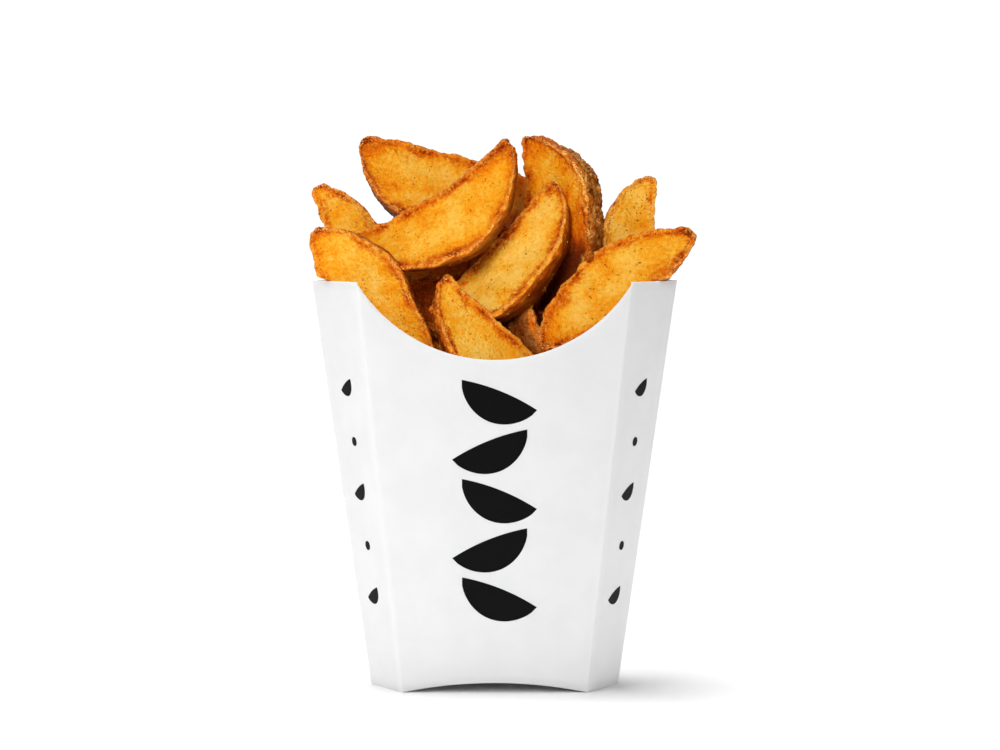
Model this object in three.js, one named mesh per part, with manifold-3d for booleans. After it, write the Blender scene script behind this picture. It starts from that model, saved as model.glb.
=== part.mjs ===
// Potato wedges heaped in a folded paperboard scoop carton.
// Units are millimetres, +Z is up, the front of the carton faces -Y.
import * as THREE from 'three';
import { mergeVertices } from 'three/addons/utils/BufferGeometryUtils.js';
import Module from 'manifold-3d';

// ---------------------------------------------------------------- driving dimensions
// The carton is a tapered hexagonal tube: a front panel, a back panel and, between
// them on each side, two narrow panels that meet at the widest crease.
const CARTON_HEIGHT = 133.0; // flat rim of the side panels
const FRONT_HALF_WIDTH = 44.1; // centre line to a front crease, at the rim
const HALF_WIDTH = 59.8; // centre line to the widest crease, at the rim
const HALF_DEPTH = 25.6; // centre plane to the front panel, at the rim
const FOOT_SCALE = 0.682; // outline at the foot as a share of the rim outline
const BOARD = 0.6; // board thickness
const SCOOP_DEPTH = 24.9; // how far the round scoop drops below the rim
const BACK_RISE = 14; // how far the round top of the back panel stands over the rim
const FOOT_ARCH = 3.1; // how far the foot of the front and back panel is arched

// The heap keeps this far from the board, so that the two solids never touch.
const CLEARANCE = 0.35;
const CORE_TOP = 105.4; // top of the packed core, just under the lowest point of the scoop
const CORE_INSET = 1.2; // core to the inner face of the board
const ARC_SEGMENTS = 180; // flats round a full circle, where an edge is cut round
const PAST = 1; // a shape that cuts reaches this far past what it cuts
const WELD = 1e-5; // corners closer than this are one corner

// A wedge is an eighth of a potato: two cut faces that meet at a ridge, and a skin.
// at: middle of its chord; turn: from +X towards +Z in the front view; lean: its far
// end moves away from the front; roll: its skin turns towards the front.
// width: chord to skin edge; bow: how far the ridge bulges away from the skin, or
// sinks towards it where it is negative; sector: angle between the two cut faces.
const WEDGES = [
  // in front, against the scoop: left, middle, right
  { at: [-42.8, -11, 122.9], turn: 124, lean: 0, roll: 14, length: 61, width: 17.5, bow: 8, sector: 46 },
  { at: [6, -12, 115.9], turn: -43, lean: 3, roll: 33, length: 57, width: 21.5, bow: 0, sector: 50 },
  { at: [39, -9, 131.2], turn: 37, lean: 9, roll: 22, length: 62.5, width: 9, bow: 13.5, sector: 44 },
  // the two that lie across the middle, rising to the right
  { at: [-22.1, -4, 163.9], turn: 32.5, lean: -4, roll: 28, length: 60, width: 27.5, bow: -4, sector: 48 },
  { at: [-2, 1, 144.9], turn: 46.5, lean: 0, roll: 40, length: 58, width: 24.5, bow: -1, sector: 50 },
  // behind them, from left to right
  { at: [-53.5, 4, 135.9], turn: 104, lean: 0, roll: 8, length: 56, width: 18.5, bow: -1, sector: 50 },
  { at: [-12.6, 15, 172.4], turn: -15.5, lean: 0, roll: 27, length: 63.5, width: 26.6, bow: 2, sector: 46 },
  { at: [10.8, 10, 151.1], turn: 94, lean: 0, roll: 39, length: 57, width: 26, bow: 0, sector: 50 },
  { at: [53.7, 6, 139.2], turn: -90, lean: 0, roll: 12, length: 55, width: 20, bow: -1, sector: 44 },
  // deeper ones that show in the gaps: one skin side out, one in the shade
  { at: [20, 10, 109.4], turn: -68, lean: 0, roll: 84, length: 54, width: 20, bow: 0, sector: 60 },
  { at: [-20, 7, 134.4], turn: 6, lean: 0, roll: 0, length: 54, width: 20, bow: 0, sector: 40 },
  // along the back panel, cut face to the back
  { at: [-25.5, 20.5, 143.4], turn: -8, lean: 180, roll: 14, length: 46, width: 20, bow: 0, sector: 42 },
  { at: [9, 22, 128], turn: -75, lean: 180, roll: 6, length: 48, width: 18, bow: 0, sector: 42 },
  { at: [28, 20, 135.4], turn: 16, lean: 180, roll: 10, length: 40, width: 19, bow: 0, sector: 44 },
  // the layer below, seen only from above
  { at: [38, 2, 110], turn: -20, lean: 0, roll: 40, length: 40, width: 18, bow: 0, sector: 50 },
  { at: [-28, 7, 112], turn: 12, lean: 0, roll: 60, length: 46, width: 18, bow: 0, sector: 50 },
  { at: [2, 14, 120.4], turn: -8, lean: 0, roll: 60, length: 56, width: 20, bow: 0, sector: 50 },
  // along the front panel, just under the scoop: left, middle, right
  { at: [-27, -14, 112.4], turn: -31, lean: 0, roll: 92, length: 44, width: 15, bow: 0, sector: 48 },
  { at: [13, -15, 105.2], turn: 7, lean: 0, roll: 96, length: 42, width: 13, bow: 0, sector: 50 },
  { at: [29, -15, 113], turn: 33, lean: 0, roll: 88, length: 42, width: 14, bow: 0, sector: 48 },
];
const WEDGE_STATIONS = 15; // cross-sections along a wedge, both tips counted
const SKIN_STEPS = 5; // flat facets round the skin of one cross-section
const TIP_POWER = 2.2; // how long the skin edge stays full before it falls to the tips
const BOW_POWER = 0.8; // the same for the ridge
const WAVE = 0.035; // unevenness of the skin edge, as a share of the width
const WAVE_TURN = 5; // how far the unevenness turns from the middle of a wedge to a tip
const WAVE_SHIFT = 2.4; // how far it is turned from one wedge to the next

const MATERIALS = {
  board: new THREE.MeshStandardMaterial({ color: 0xf1f1f1, roughness: 0.55, metalness: 0 }),
  potato: new THREE.MeshStandardMaterial({ color: 0xe3982f, roughness: 0.5, metalness: 0 }),
};

// ---------------------------------------------------------------- solids
const wasm = await Module();
wasm.setup();

/** A closed three.js geometry as a solid that can be joined and cut. */
function solid(geometry) {
  const bare = geometry.clone();
  bare.deleteAttribute('normal');
  bare.deleteAttribute('uv');
  const merged = mergeVertices(bare, WELD);
  return new wasm.Manifold(new wasm.Mesh({
    numProp: 3,
    vertProperties: new Float32Array(merged.attributes.position.array),
    triVerts: new Uint32Array(merged.index.array),
  }));
}

/** The solid's triangles as a three.js geometry. */
function geometryOf(body) {
  const { vertProperties, triVerts } = body.getMesh();
  const geometry = new THREE.BufferGeometry();
  geometry.setAttribute('position', new THREE.BufferAttribute(vertProperties, 3));
  geometry.setIndex(new THREE.BufferAttribute(triVerts, 1));
  return geometry;
}

/** An axis-aligned block between two corners. */
function block(low, high) {
  const size = high.map((value, axis) => value - low[axis]);
  const geometry = new THREE.BoxGeometry(...size);
  geometry.translate(...high.map((value, axis) => (value + low[axis]) / 2));
  return solid(geometry);
}

/** A round bar along Y, through the given height, from yLow to yHigh. */
function barAlongY(radius, height, yLow, yHigh) {
  const geometry = new THREE.CylinderGeometry(radius, radius, yHigh - yLow, ARC_SEGMENTS);
  geometry.translate(0, (yLow + yHigh) / 2, height);
  return solid(geometry);
}

/** A closed skin over rings of equal length, with a fan or a tip point at each end. */
function loft(rings, firstTip, lastTip) {
  const points = [firstTip, ...rings.flat(), lastTip];
  const size = rings[0].length;
  const index = [];
  for (let side = 0; side < size; side += 1) {
    const next = (side + 1) % size;
    const lastRing = 1 + (rings.length - 1) * size;
    index.push(0, 1 + next, 1 + side);
    index.push(points.length - 1, lastRing + side, lastRing + next);
    for (let ring = 0; ring < rings.length - 1; ring += 1) {
      const near = 1 + ring * size;
      const far = near + size;
      index.push(near + side, near + next, far + next);
      index.push(near + side, far + next, far + side);
    }
  }
  const geometry = new THREE.BufferGeometry();
  geometry.setAttribute('position', new THREE.Float32BufferAttribute(points.flat(), 3));
  geometry.setIndex(index);
  return geometry;
}

/** Radius of an arc from its chord and its height over the chord. */
const arcRadius = (halfChord, rise) => (halfChord ** 2 + rise ** 2) / (2 * rise);

// ---------------------------------------------------------------- carton
/** The six corners of the tube at a height, moved inwards by the inset. */
function outline(height, inset) {
  const scale = FOOT_SCALE + (1 - FOOT_SCALE) * (height / CARTON_HEIGHT);
  const slope = new THREE.Vector2(HALF_DEPTH, HALF_WIDTH - FRONT_HALF_WIDTH).normalize();
  const reach = scale * HALF_WIDTH * slope.x - inset;
  const depth = scale * HALF_DEPTH - inset;
  const corner = (reach - slope.y * depth) / slope.x;
  const widest = reach / slope.x;
  return [
    [corner, -depth, height],
    [widest, 0, height],
    [corner, depth, height],
    [-corner, depth, height],
    [-widest, 0, height],
    [-corner, -depth, height],
  ];
}

/** The tube as a full solid between two heights. */
function tube(inset, low, high) {
  return solid(loft([outline(low, inset), outline(high, inset)], [0, 0, low], [0, 0, high]));
}

/** The bottom panel: arched between the front and the back, flat at the two ends. */
function bottomPanel(footBar) {
  const radius = arcRadius(FRONT_HALF_WIDTH * FOOT_SCALE, FOOT_ARCH);
  const upperBar = barAlongY(radius + BOARD, FOOT_ARCH - radius, -HALF_DEPTH, HALF_DEPTH);
  const flatEnds = block([-HALF_WIDTH, -HALF_DEPTH, -PAST], [HALF_WIDTH, HALF_DEPTH, BOARD]);
  return tube(BOARD / 2, 0, FOOT_ARCH + 2 * BOARD).intersect(upperBar.add(flatEnds)).subtract(footBar);
}

function makeCarton() {
  const overTop = CARTON_HEIGHT + BACK_RISE + PAST;
  const walls = tube(0, 0, overTop).subtract(tube(BOARD, -PAST, overTop + PAST));

  const scoopRadius = arcRadius(FRONT_HALF_WIDTH, SCOOP_DEPTH);
  const scoopHeight = CARTON_HEIGHT - SCOOP_DEPTH + scoopRadius;
  const scoop = barAlongY(scoopRadius, scoopHeight, -2 * HALF_DEPTH, -HALF_DEPTH / 2);

  const backRadius = arcRadius(FRONT_HALF_WIDTH, BACK_RISE);
  const backBar = barAlongY(backRadius, CARTON_HEIGHT + BACK_RISE - backRadius, 0, 2 * HALF_DEPTH);

  const footRadius = arcRadius(FRONT_HALF_WIDTH * FOOT_SCALE, FOOT_ARCH);
  const footBar = barAlongY(footRadius, FOOT_ARCH - footRadius, -2 * HALF_DEPTH, 2 * HALF_DEPTH);

  const reach = 2 * HALF_WIDTH;
  const belowRim = block([-reach, -reach, -PAST], [reach, reach, CARTON_HEIGHT]);
  const aboveRim = block([-reach, HALF_DEPTH / 2, CARTON_HEIGHT - PAST], [reach, reach, overTop]);
  const lower = walls.intersect(belowRim).subtract(scoop);
  const backTop = walls.intersect(aboveRim).intersect(backBar);
  return lower.add(backTop).subtract(footBar).add(bottomPanel(footBar));
}

// ---------------------------------------------------------------- wedges
/** One wedge along X, its first cut face in the XZ plane towards -Y, its skin below. */
function wedgeGeometry(wedge, order) {
  const { length, width, bow, sector } = wedge;
  const rings = [];
  for (let station = 1; station < WEDGE_STATIONS - 1; station += 1) {
    const along = -Math.cos((Math.PI * station) / (WEDGE_STATIONS - 1));
    const wave = 1 + WAVE * Math.sin(WAVE_TURN * along + WAVE_SHIFT * order);
    const ridge = bow * (1 - along ** 2) ** BOW_POWER;
    const skin = width * wave * Math.sqrt(1 - Math.abs(along) ** TIP_POWER);
    const radius = ridge + skin;
    const x = (along * length) / 2;
    const ring = [[x, 0, ridge]];
    for (let step = 0; step <= SKIN_STEPS; step += 1) {
      const angle = THREE.MathUtils.degToRad((sector * step) / SKIN_STEPS);
      ring.push([x, radius * Math.sin(angle), ridge - radius * Math.cos(angle)]);
    }
    rings.push(ring);
  }
  return loft(rings, [-length / 2, 0, 0], [length / 2, 0, 0]);
}

function makeWedge(wedge, order) {
  const geometry = wedgeGeometry(wedge, order);
  geometry.rotateX(-THREE.MathUtils.degToRad(wedge.roll));
  geometry.rotateZ(THREE.MathUtils.degToRad(wedge.lean));
  geometry.rotateY(-THREE.MathUtils.degToRad(wedge.turn));
  geometry.translate(...wedge.at);
  return solid(geometry);
}

/** Everything on the wrong side of the board: round the tube and in the back panel. */
function boardSide() {
  const gap = BOARD + CLEARANCE;
  const rim = CARTON_HEIGHT + CLEARANCE;
  const top = CARTON_HEIGHT + BACK_RISE + CLEARANCE;
  const wide = 40; // thick enough to take off what reaches through the board
  const roundTube = tube(-wide, -PAST, rim).subtract(tube(gap, -2 * PAST, rim + PAST));
  const backRadius = arcRadius(FRONT_HALF_WIDTH, BACK_RISE);
  const backBar = barAlongY(backRadius + CLEARANCE, CARTON_HEIGHT + BACK_RISE - backRadius, 0, 3 * HALF_DEPTH);
  const plate = tube(-wide, CARTON_HEIGHT - PAST, top);
  const backPlate = plate.subtract(tube(gap, CARTON_HEIGHT - 2 * PAST, top + PAST));
  return roundTube.add(backPlate.intersect(backBar));
}

/** The heap as one solid: a packed core with the wedges fused on. */
function makeHeap() {
  const coreFoot = FOOT_ARCH + BOARD + CLEARANCE;
  let heap = tube(BOARD + CORE_INSET, coreFoot, CORE_TOP);
  WEDGES.forEach((wedge, order) => {
    heap = heap.add(makeWedge(wedge, order));
  });
  const pieces = heap.subtract(boardSide()).decompose();
  return pieces.reduce((best, piece) => (piece.volume() > best.volume() ? piece : best));
}

// ---------------------------------------------------------------- assembly
const part = new THREE.Group();
part.name = 'wedges_in_carton';

function addPart(name, body, material) {
  const mesh = new THREE.Mesh(geometryOf(body), material);
  mesh.name = name;
  part.add(mesh);
}

addPart('carton', makeCarton(), MATERIALS.board);
addPart('wedges', makeHeap(), MATERIALS.potato);

// The origin is the middle of the whole part's footprint, on the surface it stands on.
const bounds = new THREE.Box3().setFromObject(part, true);
const middle = bounds.getCenter(new THREE.Vector3());
part.children.forEach((mesh) => mesh.position.set(-middle.x, -middle.y, -bounds.min.z));

export default part;
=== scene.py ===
"""Looks for potato wedges heaped in a folded paperboard scoop carton.

Shapes are worked out in millimetres from the middle of the carton's foot, with +Z up and
the front at -Y, and are moved into the frame, in metres, when a mesh is made.
"""
import math
from types import SimpleNamespace

import bpy
import numpy as np
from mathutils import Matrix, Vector


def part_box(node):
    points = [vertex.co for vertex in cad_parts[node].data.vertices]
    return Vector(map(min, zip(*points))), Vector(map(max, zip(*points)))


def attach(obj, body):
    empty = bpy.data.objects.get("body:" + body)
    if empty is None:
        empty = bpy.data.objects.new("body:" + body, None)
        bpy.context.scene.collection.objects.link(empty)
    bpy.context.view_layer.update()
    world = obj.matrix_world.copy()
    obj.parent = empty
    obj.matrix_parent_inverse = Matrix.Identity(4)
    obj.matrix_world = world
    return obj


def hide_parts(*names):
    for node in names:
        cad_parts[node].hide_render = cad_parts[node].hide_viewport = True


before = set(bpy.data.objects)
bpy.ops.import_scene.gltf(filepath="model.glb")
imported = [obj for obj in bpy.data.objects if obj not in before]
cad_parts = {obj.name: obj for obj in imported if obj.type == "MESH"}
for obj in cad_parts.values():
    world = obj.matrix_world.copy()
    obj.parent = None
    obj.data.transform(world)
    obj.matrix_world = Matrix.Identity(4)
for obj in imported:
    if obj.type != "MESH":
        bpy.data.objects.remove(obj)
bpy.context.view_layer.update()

# ---------------- driving dimensions (mm)
CARTON_HEIGHT = 133.0  # flat rim of the side panels
FRONT_HALF_WIDTH = 44.1  # centre line to a front crease, at the rim
HALF_WIDTH = 59.8  # centre line to the widest crease, at the rim
HALF_DEPTH = 25.6  # centre plane to the front panel, at the rim
FOOT_SCALE = 0.682  # outline at the foot as a share of the rim outline
BOARD = 0.6  # board thickness
SCOOP_DEPTH = 24.9  # how far the round scoop drops below the rim
BACK_RISE = 14.0  # how far the round top of the back panel stands over the rim
FOOT_ARCH = 3.1  # how far the foot of the front and back panel is arched
CLEARANCE = 0.35  # food to board
CORE_TOP = 105.4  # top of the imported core
CORE_INSET = 1.2  # core to the inner face of the board

TIP_POWER = 2.2  # how long a wedge's skin edge stays full before it falls to the tips
BOW_POWER = 0.8  # the same for the ridge
WAVE = 0.035  # unevenness of the skin edge, as a share of the width
WAVE_TURN = 5  # radians that the unevenness turns through in half a wedge
WAVE_SHIFT = 2.4  # radians that it is shifted by from wedge to wedge

# A wedge is an eighth of a potato: two cut faces that meet at a ridge, and a skin.
# at: middle of its chord; turn: from +X towards +Z in the front view; lean: its far end
# moves away from the front; roll: its skin turns towards the front; width: chord to skin
# edge; bow: how far the ridge bulges away from the skin; sector: angle between the faces.
# shows: seen from the front; toast: how brown its faces are; flaky: how craggy
# its skin is; foot: painted shade, as extra browning that darkens it towards its lower end;
# crust: how browned its edges and tips are. What a row leaves out is as in USUAL.
USUAL = dict(lean=0, bow=0, foot=0, crust=1, shows=True)
WEDGES = [USUAL | row for row in (
    dict(name="front_left", at=(-42.8, -11, 122.9), turn=124, roll=14, length=61, width=17.5,
         bow=8, sector=46, toast=-0.12, flaky=0.25, crust=0.7),
    dict(name="front_middle", at=(6, -12, 115.9), turn=-43, lean=3, roll=33, length=57, width=21.5,
         sector=50, toast=-0.18, flaky=0.35),
    dict(name="front_right", at=(39, -9, 131.2), turn=37, lean=9, roll=22, length=62.5, width=9,
         bow=13.5, sector=44, toast=-0.1, flaky=0.5, crust=1.15),
    dict(name="middle_left", at=(-22.1, -4, 163.9), turn=32.5, lean=-4, roll=28, length=60, width=27.5,
         bow=-4, sector=48, toast=-0.06, flaky=0.1),
    dict(name="middle_right", at=(-2, 1, 144.9), turn=46.5, roll=40, length=58, width=24.5,
         bow=-1, sector=50, toast=-0.24, flaky=0.1, crust=0.9),
    dict(name="back_left", at=(-53.5, 4, 135.9), turn=104, roll=8, length=56, width=18.5,
         bow=-1, sector=50, toast=-0.14, flaky=0.3, foot=0.1, crust=0.75),
    dict(name="top_left", at=(-12.6, 15, 172.4), turn=-15.5, roll=27, length=63.5, width=26.6,
         bow=2, sector=46, toast=-0.06, flaky=0.35, crust=1.05),
    dict(name="top_right", at=(10.8, 10, 151.1), turn=94, roll=39, length=57, width=26,
         sector=50, toast=-0.08, flaky=1, foot=4.5, crust=0.8),
    dict(name="back_right", at=(53.7, 6, 139.2), turn=-90, roll=12, length=55, width=20,
         bow=-1, sector=44, toast=-0.22, flaky=0.3, crust=0.45),
    # gap_right and gap_left are toasted dark: partly browning, partly painted shade for the shadowed gaps
    # they fill.
    dict(name="gap_right", at=(20, 10, 109.4), turn=-68, roll=84, length=54, width=20,
         sector=60, toast=1.1, flaky=0.8),
    dict(name="gap_left", at=(-20, 7, 134.4), turn=6, roll=0, length=54, width=20,
         sector=40, toast=0.95, flaky=0.2, foot=0.4),
    dict(name="rear_left", at=(-25.5, 20.5, 143.4), turn=-8, lean=180, roll=14, length=46, width=20,
         sector=42, shows=False, toast=0.0, flaky=0.5),
    dict(name="rear_middle", at=(9, 22, 128), turn=-75, lean=180, roll=6, length=48, width=18,
         sector=42, shows=False, toast=0.1, flaky=0.7),
    dict(name="rear_right", at=(28, 20, 135.4), turn=16, lean=180, roll=10, length=40, width=19,
         sector=44, shows=False, toast=0.05, flaky=0.5),
    dict(name="low_right", at=(38, 2, 110), turn=-20, roll=40, length=40, width=18,
         sector=50, shows=False, toast=0.2, flaky=0.6),
    dict(name="low_left", at=(-28, 7, 112), turn=12, roll=60, length=46, width=18,
         sector=50, shows=False, toast=0.2, flaky=0.6),
    dict(name="low_middle", at=(2, 14, 120.4), turn=-8, roll=60, length=56, width=20,
         sector=50, shows=False, toast=0.2, flaky=0.6),
    dict(name="low_front_left", at=(-27, -14, 112.4), turn=-31, roll=92, length=44, width=15,
         sector=48, shows=False, toast=0.0, flaky=0.5),
    dict(name="low_front_middle", at=(13, -15, 105.2), turn=7, roll=96, length=42, width=13,
         sector=50, shows=False, toast=0.1, flaky=0.5),
    dict(name="low_front_right", at=(29, -15, 113), turn=33, roll=88, length=42, width=14,
         sector=48, shows=False, toast=0.05, flaky=0.5),
)]
FINE_GRID = (184, 152)  # sections along, points round, of a wedge that shows
COARSE_GRID = (90, 80)
EDGE_ROUND = 0.8  # spread of the rounding of ridge and rims
TIP_ROUND = 2.4  # rounding of the corner where the ridge meets the skin
NOISE_SEED = 41

MM = 0.001
carton_low, carton_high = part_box("carton")
ORIGIN = np.array([
    (carton_low.x + carton_high.x) / 2,
    carton_low.y + HALF_DEPTH * MM,
    carton_low.z,
])


# ---------------- numbers and noise
def smooth(low, high, value):
    """0 below low, 1 above high, and an even S between."""
    share = np.clip((value - low) / (high - low), 0, 1)
    return share * share * (3 - 2 * share)


def bell(distance, spread):
    return np.exp(-((distance / spread) ** 2))


def arc_radius(half_chord, rise):
    return (half_chord**2 + rise**2) / (2 * rise)


def gradient_noise(points, wavelength, seed):
    """Smooth noise, about -0.7 to 0.7, at points (n, 3)."""
    draw = np.random.default_rng(NOISE_SEED + seed)
    table = draw.permutation(256)
    directions = draw.normal(size=(256, 3))
    directions /= np.linalg.norm(directions, axis=1, keepdims=True)
    scaled = points / wavelength
    cell = np.floor(scaled).astype(int)
    offset = scaled - cell
    blend = offset**3 * (offset * (offset * 6 - 15) + 10)
    total = np.zeros(len(points))
    for corner in np.ndindex(2, 2, 2):
        place = (cell + corner) & 255
        key = table[(table[(table[place[:, 0]] + place[:, 1]) & 255] + place[:, 2]) & 255]
        pull = np.einsum("ij,ij->i", directions[key], offset - corner)
        share = np.where(corner, blend, 1 - blend).prod(axis=1)
        total += share * pull
    return total


def layered_noise(points, wavelength, seed, layers=3, gain=0.5):
    total = np.zeros(len(points))
    for layer in range(layers):
        total += gain**layer * gradient_noise(points, wavelength / 2**layer, seed + 100 * layer)
    return total


# ---------------- meshes
def make_object(name, points, faces, material, smooth_shaded=True, attributes=None):
    """A mesh object at the frame's origin, from points in millimetres."""
    mesh = bpy.data.meshes.new(name)
    placed = np.asarray(points, float) * MM + ORIGIN
    mesh.from_pydata(placed.tolist(), [], [tuple(face) for face in faces])
    for key, values in (attributes or {}).items():
        layer = mesh.attributes.new(key, "FLOAT", "POINT")
        layer.data.foreach_set("value", np.asarray(values, np.float32).ravel())
    mesh.polygons.foreach_set("use_smooth", [smooth_shaded] * len(mesh.polygons))
    mesh.materials.append(material)
    mesh.update()
    piece = bpy.data.objects.new(name, mesh)
    bpy.context.scene.collection.objects.link(piece)
    return piece


def settle_piece(piece, lit_with, node=None):
    """Puts a piece on its body and under a group of lights."""
    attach(piece, "root")
    if node:
        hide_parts(node)
    lit_with.objects.link(piece)


def grid_faces(rows, columns, close_rows=False, close_columns=False):
    """Quads over a grid of rows x columns points, one row after the other."""
    row = np.arange(rows if close_rows else rows - 1)
    column = np.arange(columns if close_columns else columns - 1)
    near, left = np.meshgrid(row, column, indexing="ij")
    far = (near + 1) % rows
    right = (left + 1) % columns
    quads = np.stack([near * columns + left, near * columns + right,
                      far * columns + right, far * columns + left], axis=-1)
    return quads.reshape(-1, 4)


def closed_sheet(outer, inner):
    """A thin closed body between two grids (rows x columns x 3) of the same size."""
    rows, columns = outer.shape[:2]
    count = rows * columns
    faces = grid_faces(rows, columns).tolist()
    faces += (grid_faces(rows, columns)[:, ::-1] + count).tolist()
    index = np.arange(count).reshape(rows, columns)
    border = np.concatenate([index[0, :-1], index[:-1, -1], index[-1, :0:-1], index[:0:-1, 0]])
    following = np.roll(border, -1)
    faces += np.stack([following, border, border + count, following + count], axis=-1).tolist()
    return np.concatenate([outer.reshape(-1, 3), inner.reshape(-1, 3)]), faces


def grid_normals(points):
    """Outward unit normals of a closed tube of rings (stations x around x 3)."""
    lengthwise = np.gradient(points, axis=0)
    round_way = np.roll(points, -1, axis=1) - np.roll(points, 1, axis=1)
    normals = np.cross(round_way, lengthwise)
    normals /= np.maximum(np.linalg.norm(normals, axis=2, keepdims=True), 1e-9)
    outward = points - points.mean(axis=1, keepdims=True)
    sign = np.sign((normals * outward).sum(axis=2).mean())
    return normals * sign


# ---------------- shader nodes
def colour(red, green, blue):
    """A colour given as screen values from 0 to 255."""
    def linear(value):
        share = value / 255
        return share / 12.92 if share <= 0.04045 else ((share + 0.055) / 1.055) ** 2.4
    return (linear(red), linear(green), linear(blue), 1.0)


def new_material(name):
    material = bpy.data.materials.new(name)
    material.use_nodes = True
    return material, material.node_tree, material.node_tree.nodes["Principled BSDF"]


def plug(tree, node, inputs):
    """Fills a node's inputs, each with a socket to link or a plain value."""
    for key, value in inputs.items():
        if isinstance(value, bpy.types.NodeSocket):
            tree.links.new(value, node.inputs[key])
        else:
            node.inputs[key].default_value = value


def add(tree, kind, inputs=None, **settings):
    """A new shader node."""
    made = tree.nodes.new(kind)
    for key, value in settings.items():
        setattr(made, key, value)
    plug(tree, made, inputs or {})
    return made


def mixed(tree, share, first, second):
    """The first colour at share 0, the second at share 1."""
    return add(tree, "ShaderNodeMix", {0: share, 6: first, 7: second}, data_type="RGBA").outputs[2]


def maths(tree, operation, first, second):
    return add(tree, "ShaderNodeMath", {0: first, 1: second}, operation=operation).outputs[0]


def swing(tree, value):
    """Noise moved to lie about zero."""
    return maths(tree, "SUBTRACT", value, 0.5)


def total(tree, *terms):
    """The sum of terms, each a value or a pair of value and weight."""
    result = None
    for term in terms:
        value, weight = term if isinstance(term, tuple) else (term, 1.0)
        weighted = maths(tree, "MULTIPLY", value, weight) if weight != 1.0 else value
        result = weighted if result is None else maths(tree, "ADD", result, weighted)
    return result


def ranged(tree, value, low, high, to_low=0.0, to_high=1.0):
    """The value from low to high brought to a new range along an even S."""
    return add(tree, "ShaderNodeMapRange", {
        "Value": value, "From Min": low, "From Max": high, "To Min": to_low, "To Max": to_high,
    }, interpolation_type="SMOOTHSTEP").outputs["Result"]


def ranged_evenly(tree, value, low, high):
    """The value from low to high brought to 0 to 1 along a straight line."""
    return add(tree, "ShaderNodeMapRange", {"Value": value, "From Min": low, "From Max": high}).outputs[0]


def ramp(tree, value, stops):
    """Colours along a value, from pairs of place (0 to 1) and colour."""
    made = add(tree, "ShaderNodeValToRGB", {"Fac": value})
    elements = made.color_ramp.elements
    while len(elements) < len(stops):
        elements.new(1.0)
    for element, (place, tint) in zip(elements, stops):
        element.position = place
        element.color = tint
    return made.outputs["Color"]


def noise(tree, where, wavelength, detail=3.0, roughness=0.5, distortion=0.0):
    """Noise with features about one wavelength, in millimetres, apart."""
    return add(tree, "ShaderNodeTexNoise", {
        "Vector": where, "Scale": 1 / (wavelength * MM), "Detail": detail,
        "Roughness": roughness, "Distortion": distortion,
    }).outputs["Fac"]


def cells(tree, where, wavelength):
    """Distance from the middle of the nearest of many uneven cells."""
    made = add(tree, "ShaderNodeTexVoronoi", {"Vector": where, "Scale": 1 / (wavelength * MM)})
    return made.outputs["Distance"]


def object_place(tree):
    return add(tree, "ShaderNodeTexCoord").outputs["Object"]


def attribute(tree, key):
    return add(tree, "ShaderNodeAttribute", attribute_name=key).outputs["Fac"]


def bump(tree, height, depth, strength=1.0):
    """Relief as deep as the given millimetres."""
    inputs = {"Height": height, "Distance": depth * MM, "Strength": strength}
    return add(tree, "ShaderNodeBump", inputs).outputs["Normal"]


# ---------------- materials
# Colours of a cut face from the palest to burnt, and the warmth at their two ends. The darkest also show
# the painted shade of a wedge's foot.
FLESH = [
    (0.0, colour(249, 202, 96)), (0.20, colour(246, 183, 63)), (0.32, colour(243, 163, 31)),
    (0.45, colour(241, 142, 12)), (0.60, colour(226, 110, 5)), (0.75, colour(186, 70, 3)),
    (1.0, colour(96, 30, 4)),
]
FLESH_WARMTH = (-0.45, 1.35)
PIT = colour(132, 48, 3)  # small dark spots on the cut faces

SMOOTH_SKIN = [(0.34, colour(146, 56, 4)), (0.50, colour(194, 90, 8)), (0.66, colour(234, 142, 20))]
ROUGH_SKIN = [(0.38, colour(138, 54, 4)), (0.56, colour(222, 124, 26))]
PALE_FLAKE = colour(252, 198, 108)
DARK_FLAKE = colour(84, 32, 6)
# painted shade of the skin's undersides, away from its rims; also the colour of toasted skin
SHADED_SKIN = colour(98, 34, 3)

# Scorching of the edges: where each shade starts and is full, its cover, its colour.
SCORCHING = [
    (0.10, 0.60, 1.0, colour(226, 106, 7)),
    (0.60, 1.15, 1.0, colour(172, 60, 4)),
    (1.20, 1.80, 0.75, colour(96, 30, 3)),
]
RIM_HIGHLIGHT = colour(250, 178, 84)  # painted highlights: pale flecks along the rims, where their crinkles catch the light
NICK = colour(156, 58, 5)  # dark flecks between them
GLINT = colour(248, 164, 66)  # golden flecks in the scorched edges

FIELDS = ("skin", "edge", "toast", "flake", "rim", "deep", "streak")


def potato_inputs(tree):
    """The fields painted on a wedge, and noises from broad to fine, as sockets."""
    where = object_place(tree)
    painted = {key: attribute(tree, key) for key in FIELDS}
    return SimpleNamespace(
        where=where,
        broad=swing(tree, noise(tree, where, 6.0, 3.0, 0.55)),
        patch=noise(tree, where, 4.0, 6.0, 0.62),
        grain=swing(tree, noise(tree, where, 1.5, 4.0, 0.65, 0.4)),
        granule=swing(tree, noise(tree, where, 0.9, 3.0, 0.65)),
        fine=noise(tree, where, 0.55, 3.0, 0.6),
        **painted)


def face_colour(tree, at):
    """Cream to golden flesh, browner where it is toasted, with small dark pits."""
    warmth = total(tree, at.toast, (at.broad, 0.8), (at.grain, 0.7), (at.granule, 0.85))
    flesh = ramp(tree, ranged_evenly(tree, warmth, *FLESH_WARMTH), FLESH)
    pit = total(tree, noise(tree, at.where, 0.85, 2.0), (at.broad, 0.30))
    return mixed(tree, ranged(tree, pit, 0.664, 0.724, 0.0, 0.85), flesh, PIT)


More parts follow.
